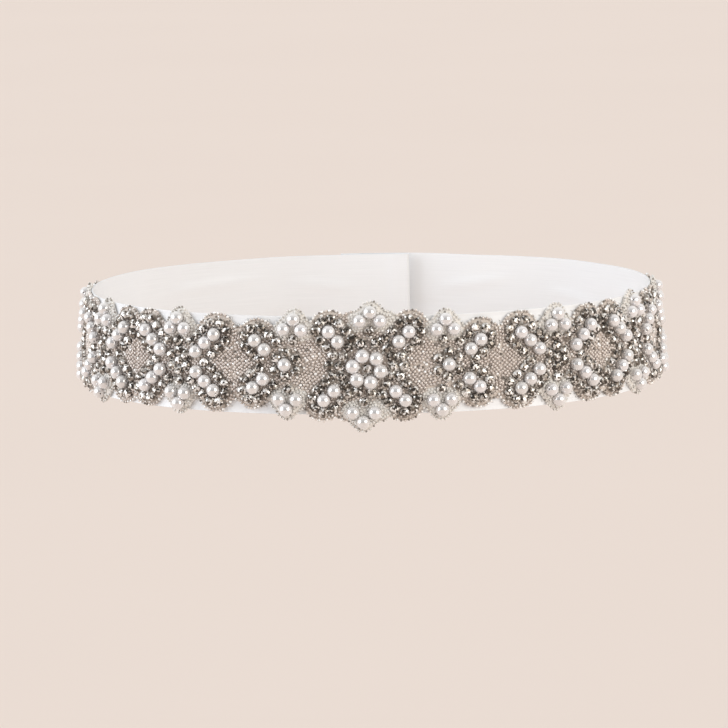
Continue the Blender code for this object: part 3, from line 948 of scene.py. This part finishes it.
def satin_material():
    """White satin: long floats along the ribbon, a soft sheen and faint streaks."""
    look = Look("satin_white", Roughness=0.36, Specular_IOR_Level=0.55, Anisotropic=0.5)
    look.set_inputs(look.shader, {"Sheen Weight": 0.35, "Sheen Roughness": 0.4})
    flat = look.node("UVMap")
    flat.uv_map = "flat"
    stretch = look.node("Mapping", Scale=(40.0, 5000.0, 1.0))
    streaks = look.node("TexNoise", Scale=1.0, Detail=2.0)
    look.link(flat, "UV", stretch, "Vector")
    look.link(stretch, "Vector", streaks, "Vector")
    look.paint(streaks, [(0.3, (0.84, 0.85, 0.87)), (0.7, (0.88, 0.89, 0.91))])
    look.bump(streaks, "Fac", 0.12, 0.00005)
    return look.material


def steel_material():
    """Bright plated steel of the hooks and bars."""
    look = Look("plated_steel", Metallic=1.0, Roughness=0.25)
    look.paint(look.uneven(700.0, 0.1, 0.0002), [(0.35, (0.60, 0.60, 0.61)), (0.65, (0.78, 0.78, 0.79))])
    return look.material


def thread_material():
    """White sewing thread with its twist."""
    look = Look("thread", Roughness=0.7, Sheen_Weight=0.3)
    look.paint(look.uneven(3000.0, 0.4, 0.0002), [(0.3, (0.74, 0.72, 0.70)), (0.7, (0.90, 0.89, 0.87))])
    return look.material


def floor_material():
    """A plain pale floor."""
    look = Look("pale_floor", Roughness=0.9, Specular_IOR_Level=0.1)
    look.paint(look.uneven(3.0, 0.02, 0.001), [(0.3, (0.807, 0.707, 0.647)), (0.7, (0.813, 0.713, 0.653))])
    return look.material


def satin_offset(u, v):
    """How far the satin's outer face stands out at (u, v): folds, lap and creases."""
    lift = np.zeros_like(u)
    for at, depth, half, slant in RIBBON_FOLDS:
        lift += depth * np.exp(-(((u - at - slant * v) / half) ** 2))
    rise = np.clip((u - (RIBBON_END - RIBBON_LAP - LAP_RAMP)) / LAP_RAMP, 0.0, 1.0)
    lift += LAP_LIFT * rise * rise * (3 - 2 * rise)
    for at, height, length, depth, half, slant in CREASES:
        along = (u - at) / (length / 2)
        line = height + slant * (u - at)
        lift += depth * np.exp(-(along ** 4)) * np.exp(-(((v - line) / half) ** 2))
    return lift


def rim_faces(rim, below):
    """Faces that join a sheet's closed rim to the same rim of the sheet under it."""
    ahead = np.roll(rim, -1)
    return np.stack([rim, rim + below, ahead + below, ahead], axis=-1)


def make_ribbon(material):
    """The satin ribbon as a thin closed shell with selvedges and hemmed ends."""
    u = np.linspace(-RIBBON_END, RIBBON_END, int(2 * RIBBON_END / SATIN_STEP))
    half = RIBBON_HEIGHT / 2
    v = half * np.sin(np.linspace(-0.5, 0.5, SATIN_ROWS + 1) * math.pi)
    uu, vv = np.meshgrid(u, v, indexing="ij")
    offset = satin_offset(uu, vv)
    selvedge = np.clip((np.abs(vv) - half + SELVEDGE_WIDTH) / SELVEDGE_EASE, 0.0, 1.0)
    hem = np.clip((np.abs(uu) - RIBBON_END + HEM_LENGTH) / HEM_EASE, 0.0, 1.0)
    outer = offset + SELVEDGE_RISE * selvedge - SELVEDGE_RISE
    inner = offset - SATIN_THICKNESS - HEM_EXTRA * hem
    verts = np.concatenate([wrap(np.stack([uu, vv, w], axis=-1)).reshape(-1, 3) for w in (outer, inner)])
    count = uu.size
    index = np.arange(count).reshape(uu.shape)
    a, b, c, d = index[:-1, :-1], index[1:, :-1], index[1:, 1:], index[:-1, 1:]
    faces = np.stack([a, b, c, d], axis=-1).reshape(-1, 4)
    rim = np.concatenate([index[:, 0], index[-1, 1:], index[-2::-1, -1], index[0, -2:0:-1]])
    polys = [faces, faces[:, ::-1] + count, rim_faces(rim, count)]
    uv = np.concatenate([np.stack([uu, vv], axis=-1).reshape(-1, 2) * MM] * 2)
    piece = add_piece("satin_ribbon", verts, polys, material, uv=uv)
    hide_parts("ribbon")
    return piece


def make_net(material):
    """The net that carries the beads: a thin scalloped sheet close to the ribbon."""
    outline = edge_row(applique_outline(NET_EDGE_STEP), NET_INSET)[:, :2]
    reach = outline.max(axis=0)
    columns, lines = (np.arange(-r, r, NET_STEP) for r in reach)
    grid = np.array([(u, v) for u in columns for v in lines])
    grid = grid[inside(grid, outline)]
    grid = grid[nearest(grid, outline) > NET_EDGE_STEP]
    flat = np.vstack([outline, grid])
    loop = list(range(len(outline)))
    _, _, faces, origins, _, _ = delaunay_2d_cdt([tuple(p) for p in flat.tolist()], [], [loop], 1, 1e-5, True)
    faces = np.array([[origins[i][0] for i in face] for face in faces])
    faces = faces[inside(flat[faces].mean(axis=1), outline)]
    tint = (into_fan(flat) > 0.0).astype(float)
    top = NET_HIGH + fan_padding(flat)
    top[:len(outline)] = NET_RIM
    flat = sewn(flat)
    count = len(flat)
    verts = np.concatenate([wrap(np.column_stack([flat, w])) for w in (top, np.full(count, NET_LOW))])
    polys = [faces, faces[:, ::-1] + count, rim_faces(np.arange(len(outline)), count)]
    return add_piece("applique_net", verts, polys, material, tint=np.tile(tint, 2))


def make_beads(name, template, rows, heights, material, tints, smooth=True, sizes=1.0):
    """One joined piece of many like beads; tints has one value a bead, or one a corner."""
    verts, faces = stamped(template, rows, heights, sizes)
    tint = np.repeat(tints, len(template[0])) if len(tints) == len(rows) else tints
    return add_piece(name, verts, faces, material, smooth=smooth, tint=tint)


def stitch(start, end, rise):
    """A thread's path from start to end, both (u, v, w), bowed out by rise."""
    share = np.linspace(0.0, 1.0, STITCH_POINTS)[:, None]
    path = np.array(start) * (1 - share) + np.array(end) * share
    path[:, 2] += rise * np.sin(math.pi * share[:, 0])
    return path


def hem_stitches():
    """Running stitches along the hem at each end of the ribbon."""
    paths = []
    low, high = STITCH_CLEAR[0] - RIBBON_HEIGHT / 2, RIBBON_HEIGHT / 2 - STITCH_CLEAR[1]
    for end in (-1, 1):
        u = end * (RIBBON_END - HEM_LENGTH)
        for v in np.arange(low, high, STITCH_PITCH):
            spot = satin_offset(np.array([u]), np.array([v]))[0] - SELVEDGE_RISE
            paths.append(stitch((u, v, spot), (u, v + STITCH_LENGTH, spot), THREAD_RADIUS))
    return paths


def tacking_stitches():
    """Slanted stitches that hold the applique's rim on the ribbon wherever it lies on it."""
    rim = applique_outline(TACK_PITCH)
    along = unit(np.roll(rim, -1, axis=0) - np.roll(rim, 1, axis=0))
    outward = np.column_stack([along[:, 1], -along[:, 0]])
    paths = []
    for spot, way, side in zip(rim, along, outward):
        if abs(spot[1]) < RIBBON_HEIGHT / 2 - TACK_CLEAR:
            start, end = sewn([spot - TACK_IN * side, spot + TACK_OUT * side + TACK_SLANT * way])
            paths.append(stitch((*start, NET_RIM), (*end, -SELVEDGE_RISE), THREAD_RADIUS))
    return paths


def hook_stitches():
    """Threads over the hooks' plates and the bars' feet."""
    paths = []
    back = GIRTH / 2
    high, low = LAP_LIFT - SATIN_THICKNESS - HEM_EXTRA, HOOK_UNDERSIDE - THREAD_RADIUS
    for v in HOOK_ROWS:
        for u in (back + du for du in HOOK_THREADS):
            for side in (-1, 1):
                edge = v + side * (HOOK_HALF_WIDTH + 2 * THREAD_RADIUS)
                inner = v + side * (HOOK_HALF_WIDTH - HOOK_THREAD_INNER)
                paths.append(stitch((u, edge, high), (u, edge, low), 0.0))
                paths.append(stitch((u, edge, low), (u, inner, low), 0.0))
        for side in (-1, 1):
            foot = v + side * (BAR_HALF_SPAN + BAR_FOOT / 2)
            for dv in BAR_THREADS:
                reach = (-BAR_THREAD_HALF, BAR_THREAD_HALF)
                ends = [(back + BAR_FORWARD + du, foot + side * dv, -SELVEDGE_RISE) for du in reach]
                paths.append(stitch(*ends, BAR_TOP + THREAD_RADIUS + SELVEDGE_RISE))
    return paths


def make_threads(name, paths, material):
    """Round threads through flat paths, joined as one piece."""
    verts, quads = [], []
    angles = [2 * math.pi * j / THREAD_SIDES for j in range(THREAD_SIDES)]
    for line in (wrap(path) for path in paths):
        quads += between_rings(len(line), THREAD_SIDES, len(verts))
        way = unit(np.gradient(line, axis=0))
        across = unit(np.cross(way, (0.3, 0.5, 0.8)))
        out = np.cross(way, across)
        for spot, side, up in zip(line, across, out):
            verts += [spot + (side * math.cos(a) + up * math.sin(a)) * THREAD_RADIUS * MM for a in angles]
    return add_piece(name, np.array(verts), [np.array(quads)], material)


def strewn(rng, rows, place_stray, heading_stray, tilt_stray):
    """Rows (u, v, heading, tilt) from rows (u, v, heading), each a little out of its place."""
    stray = rng.normal(0.0, (place_stray, place_stray, heading_stray, tilt_stray), (len(rows), 4))
    return np.column_stack([rows, np.zeros(len(rows))]) + stray


def make_seeds(rng, laid):
    """The seed beads, one piece for each row of BEAD_PLACES."""
    looks = {"seed": seed_material(), "ivory": ivory_material()}
    shape = bead_shape()
    pieces = []
    for place, look, stand, size, stray, tones, dark, light in BEAD_PLACES:
        rows = strewn(rng, laid[place], *stray)
        heights = NET_HIGH + fan_padding(rows) + stand + rng.uniform(*LIFT_RANGE, len(rows))
        tints = rng.uniform(*tones, len(rows))
        chance = rng.uniform(0.0, 1.0, len(rows))
        # Beads of the dark share are painted shade of holes and gaps and are made smaller; beads of the light
        # share are painted glints
        tints[chance < dark] = 0.0
        tints[chance > 1.0 - light] = 1.0
        sizes = size * rng.uniform(*SIZE_RANGE, len(rows))
        sizes[chance < dark] *= PAINTED_SHADE_SIZE
        pieces.append(make_beads("seeds_" + place, shape, rows, heights, looks[look], tints, sizes=sizes))
    return pieces


def make_beadwork():
    """Pearls, cup stones and seed beads of the applique."""
    rng = np.random.default_rng(SEED)
    pearls, stones = bead_layout()
    rows = strewn(rng, pearls, *PEARL_STRAY)
    tints = rng.uniform(0.0, 1.0, len(pearls))
    sizes = np.interp(np.abs(pearls[:, 0]), *zip(*PEARL_SIZES))
    sizes[np.hypot(pearls[:, 0], pearls[:, 1] - FLOWER_V) < FLOWER_RING + 1.0] = FLOWER_PEARL_SIZE
    seat = PEARL_CENTRE - PEARL_RADIUS * (1.0 - sizes)
    pieces = [make_beads("pearls", pearl_shape(), rows, seat, pearl_material(), tints, sizes=sizes)]
    rows = strewn(rng, stones, *STONE_STRAY)
    # The stones' facets take painted reflections as their tint
    tints = stone_painted_reflections(rng, len(stones))
    heights = GIRDLE + rng.uniform(-STONE_LIFT, STONE_LIFT, len(stones))
    pieces.append(make_beads("crystals", stone_shape(), rows, heights, stone_material(), tints, smooth=False))
    cup = cup_shape()
    # The cups take painted shade on their walls and painted highlights on their claws as their tint
    tints = cup_painted_shade_and_highlights(rng, len(stones), len(cup[0]))
    pieces.append(make_beads("cups", cup, rows, heights, silver_material(), tints, smooth=False))
    return pieces + make_seeds(rng, seed_layout(rng, pearls, stones))


def aim(thing, target, roll_deg=0.0):
    """Point a light or the camera at a place."""
    away = thing.location - Vector(target)
    turn = away.to_track_quat("Z", "Y").to_matrix()
    thing.rotation_euler = (turn @ Matrix.Rotation(math.radians(roll_deg), 3, "Z")).to_euler()


def make_camera():
    """The photograph's view: long lens, a little above the sash, rolled by a degree."""
    rise, turn = math.radians(CAMERA_RISE_DEG), math.radians(CAMERA_TURN_DEG)
    data = bpy.data.cameras.new("camera")
    data.sensor_width = SENSOR_MM
    data.lens = PX_PER_MM * CAMERA_DISTANCE / MM * SENSOR_MM / IMAGE_PX
    camera = bpy.data.objects.new("camera", data)
    bpy.context.collection.objects.link(camera)
    level = math.cos(rise)
    camera.location = Vector((math.sin(turn) * level, -math.cos(turn) * level, math.sin(rise))) * CAMERA_DISTANCE
    right = (IMAGE_PX / 2 - CENTRE_PX[0]) / PX_PER_MM * MM
    down = (IMAGE_PX / 2 - CENTRE_PX[1]) / PX_PER_MM * MM
    aim(camera, (right * math.cos(turn), right * math.sin(turn), -down / level), -CAMERA_ROLL_DEG)
    bpy.context.scene.camera = camera


def add_light(name, kind, place, power, color, lit):
    """A light aimed at the sash, which lights what the collection names."""
    data = bpy.data.lights.new(name, kind)
    data.energy, data.color = power, color
    light = bpy.data.objects.new(name, data)
    bpy.context.collection.objects.link(light)
    light.location = place
    light.light_linking.receiver_collection = lit
    light.visible_camera = False
    aim(light, (0.0, 0.0, 0.0))
    return data


def floor_link(name, state, floor):
    """A collection for light linking that includes or excludes the floor alone."""
    link = bpy.data.collections.new(name)
    link.objects.link(floor)
    link.collection_objects[0].light_linking.link_state = state
    return link


def make_floor():
    """A plain pale floor, which isn't part of the sash."""
    angles = 2 * math.pi * np.arange(FLOOR_SIDES) / FLOOR_SIDES
    rim = np.column_stack([np.cos(angles), np.sin(angles), np.zeros(FLOOR_SIDES)]) * FLOOR_RADIUS
    rim[:, 2] = -FLOOR_DROP
    mesh = bpy.data.meshes.new("studio_floor")
    mesh.from_pydata(rim.tolist(), [], [tuple(range(FLOOR_SIDES))])
    mesh.materials.append(floor_material())
    floor = bpy.data.objects.new("studio_floor", mesh)
    bpy.context.collection.objects.link(floor)
    return floor


def make_world():
    """A soft world, lighter upwards and behind the sash."""
    world = bpy.data.worlds.new("soft_world")
    world.use_nodes = True
    nodes, links = world.node_tree.nodes, world.node_tree.links
    coords = nodes.new("ShaderNodeTexCoord")
    share = nodes.new("ShaderNodeVectorMath")
    share.operation = "DOT_PRODUCT"
    share.inputs[1].default_value = WORLD_UP_AND_BACK
    middle = nodes.new("ShaderNodeMath")
    middle.inputs[1].default_value = 0.5
    tone = ramp_node(nodes, WORLD_TONES)
    links.new(coords.outputs["Generated"], share.inputs[0])
    links.new(share.outputs["Value"], middle.inputs[0])
    links.new(middle.outputs["Value"], tone.inputs["Fac"])
    links.new(tone.outputs["Color"], nodes["Background"].inputs["Color"])
    bpy.context.scene.world = world


def make_studio():
    """Soft boxes on both sides of the front for the sash, and an even sun for the floor alone."""
    floor = make_floor()
    sash_only = floor_link("sash_only", "EXCLUDE", floor)
    for name, place, size, power, color in SOFTBOXES:
        data = add_light(name, "AREA", place, power, color, sash_only)
        data.shape, data.size, data.size_y = "ELLIPSE", size[0], size[1]
    floor_only = floor_link("floor_only", "INCLUDE", floor)
    sun = add_light("floor_sun", "SUN", (0.0, 0.0, 3.0), FLOOR_SUN, (1.0, 1.0, 1.0), floor_only)
    sun.angle = math.radians(FLOOR_SUN_ANGLE_DEG)
    make_world()
    bpy.context.scene.view_settings.view_transform = "Standard"


def finish_hooks(material):
    """The CAD hooks and bars keep their shape and take the plated steel."""
    for name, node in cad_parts.items():
        if name.startswith(("hook_", "bar_")):
            node.data.materials.clear()
            node.data.materials.append(material)


ribbon = make_ribbon(satin_material())
net = make_net(net_material())
beadwork = make_beadwork()
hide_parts("applique")
finish_hooks(steel_material())
thread = thread_material()
make_threads("hem_stitches", hem_stitches(), thread)
make_threads("tacking_stitches", tacking_stitches(), thread)
make_threads("hook_stitches", hook_stitches(), thread)
make_camera()
make_studio()
